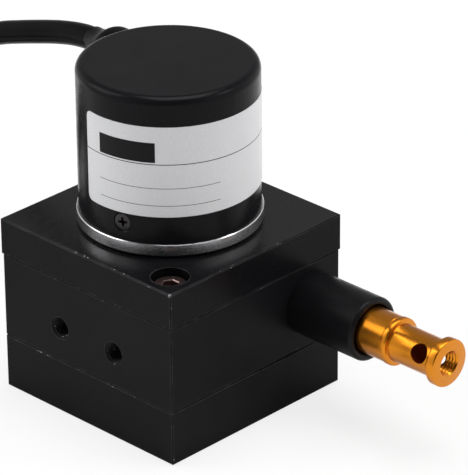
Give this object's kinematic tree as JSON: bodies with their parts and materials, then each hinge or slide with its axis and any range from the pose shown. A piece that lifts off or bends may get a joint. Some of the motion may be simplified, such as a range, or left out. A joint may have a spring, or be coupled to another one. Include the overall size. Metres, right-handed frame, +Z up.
{
  "type": "draw wire encoder",
  "caption": "Draw wire encoder: a spring-driven wire drum in a square three-piece block, with a rotary encoder and cable on top and a swivelling wire end at its side.",
  "frame": {"origin": "centre of the block's square underside, on the axis of the drum and the encoder", "axes": "+Z up along the drum axis; +X the way the wire is pulled out; -Y the face with the two side mounting holes"},
  "size_m": [0.2144, 0.0784, 0.0756],
  "materials": {
    "anodised_black": "black anodised, satin",
    "cap_black": "fine black powder coat",
    "tube_black": "black anodised, semi-gloss",
    "turned_aluminium": "turned, bright",
    "drum_aluminium": "turned",
    "bearing_steel": "ground",
    "shaft_steel": "turned",
    "zinc_screw": "zinc plated",
    "black_screw": "black oxide",
    "spring_steel": "blued strip",
    "stainless_wire": "stranded",
    "ceramic": "glazed ceramic",
    "felt": "dense felt",
    "black_rubber": "matte",
    "brass": "turned",
    "gold_anodised": "gold anodised, turned",
    "board_green": "solder mask",
    "chip_black": "moulded",
    "nylon": "moulded",
    "disc_film": "film",
    "mask_glass": "chrome on glass",
    "label_foil": "silver-grey foil",
    "gland_black": "moulded",
    "cable_pvc": "extruded PVC",
    "lead_insulation": "extruded"
  },
  "bodies": {
    "housing": {"bottom_cover": "anodised_black", "middle_body": "anodised_black", "top_plate": "anodised_black", "plate_screws": "zinc_screw", "cover_screws": "black_screw", "spring_plate": "shaft_steel", "power_spring": "spring_steel", "outlet_tube": "tube_black", "guide_eyelet": "ceramic", "wire_wiper": "felt", "bumper_ring": "black_rubber", "lower_bearing_outer_ring": "bearing_steel", "upper_bearing_outer_ring": "bearing_steel", "flange_gasket": "black_rubber", "encoder_flange": "turned_aluminium", "flange_screws": "black_screw", "encoder_bearing_outer_rings": "bearing_steel", "led_block": "chip_black", "board_pillars": "brass", "circuit_board": "board_green", "board_screws": "zinc_screw", "light_sensor": "chip_black", "sensor_mask": "mask_glass", "board_components": "chip_black", "cable_socket": "nylon", "encoder_cap": "cap_black", "cap_screws": "zinc_screw", "label": "label_foil", "cable_gland": "gland_black", "strain_relief": "black_rubber", "inner_leads": "lead_insulation", "cable": "cable_pvc", "cable_coil": "cable_pvc", "cable_tail": "cable_pvc", "lead_tails": "lead_insulation"},
    "drum": {"drum": "drum_aluminium", "drum_shaft": "shaft_steel", "spring_arbor": "brass", "wound_wire": "stainless_wire", "wire_clamp_screw": "black_screw", "lower_bearing_inner_ring": "bearing_steel", "upper_bearing_inner_ring": "bearing_steel", "encoder_shaft": "shaft_steel", "encoder_bearing_inner_rings": "bearing_steel", "disc_hub": "brass", "code_disc": "disc_film", "disc_clamp_ring": "brass"},
    "lower_ball_set": {"lower_bearing_balls": "bearing_steel", "lower_bearing_cage": "brass"},
    "upper_ball_set": {"upper_bearing_balls": "bearing_steel", "upper_bearing_cage": "brass"},
    "encoder_ball_set": {"encoder_bearing_balls": "bearing_steel", "encoder_bearing_cages": "brass"},
    "wire_end": {"draw_wire": "stainless_wire", "ferrule": "brass"},
    "fitting": {"end_fitting": "gold_anodised", "retaining_plug": "gold_anodised"}
  },
  "joints": [
    {"name": "drum_spin", "type": "hinge", "parent": "housing", "child": "drum", "pos_m": [0, 0, 0.018], "axis": [0, 0, -1], "range_deg": [0, 5400], "stiffness_Nm_per_rad": 0.00034, "springref_deg": -8078.7, "deforming": ["power_spring"]},
    {"name": "wire_pull", "type": "slide", "parent": "housing", "child": "wire_end", "axis": [1, 0, 0], "range_m": [0, 1.5], "deforming": ["draw_wire"]},
    {"name": "fitting_swivel", "type": "hinge", "parent": "wire_end", "child": "fitting", "pos_m": [0.045, 0.01591, 0.0225], "axis": [1, 0, 0], "continuous": true},
    {"name": "lower_balls", "type": "hinge", "parent": "housing", "child": "lower_ball_set", "pos_m": [0, 0, 0.0027], "axis": [0, 0, -1], "range_deg": [0, 2500]},
    {"name": "upper_balls", "type": "hinge", "parent": "housing", "child": "upper_ball_set", "pos_m": [0, 0, 0.0276], "axis": [0, 0, -1], "range_deg": [0, 2500]},
    {"name": "encoder_balls", "type": "hinge", "parent": "housing", "child": "encoder_ball_set", "pos_m": [0, 0, 0.046], "axis": [0, 0, -1], "range_deg": [0, 2500]}
  ],
  "couplings": [
    {"joint": "wire_pull", "follows": "drum_spin", "m_per_rad": 0.015915},
    {"joint": "lower_balls", "follows": "drum_spin", "ratio": 0.4},
    {"joint": "upper_balls", "follows": "drum_spin", "ratio": 0.4467},
    {"joint": "encoder_balls", "follows": "drum_spin", "ratio": 0.4111}
  ]
}
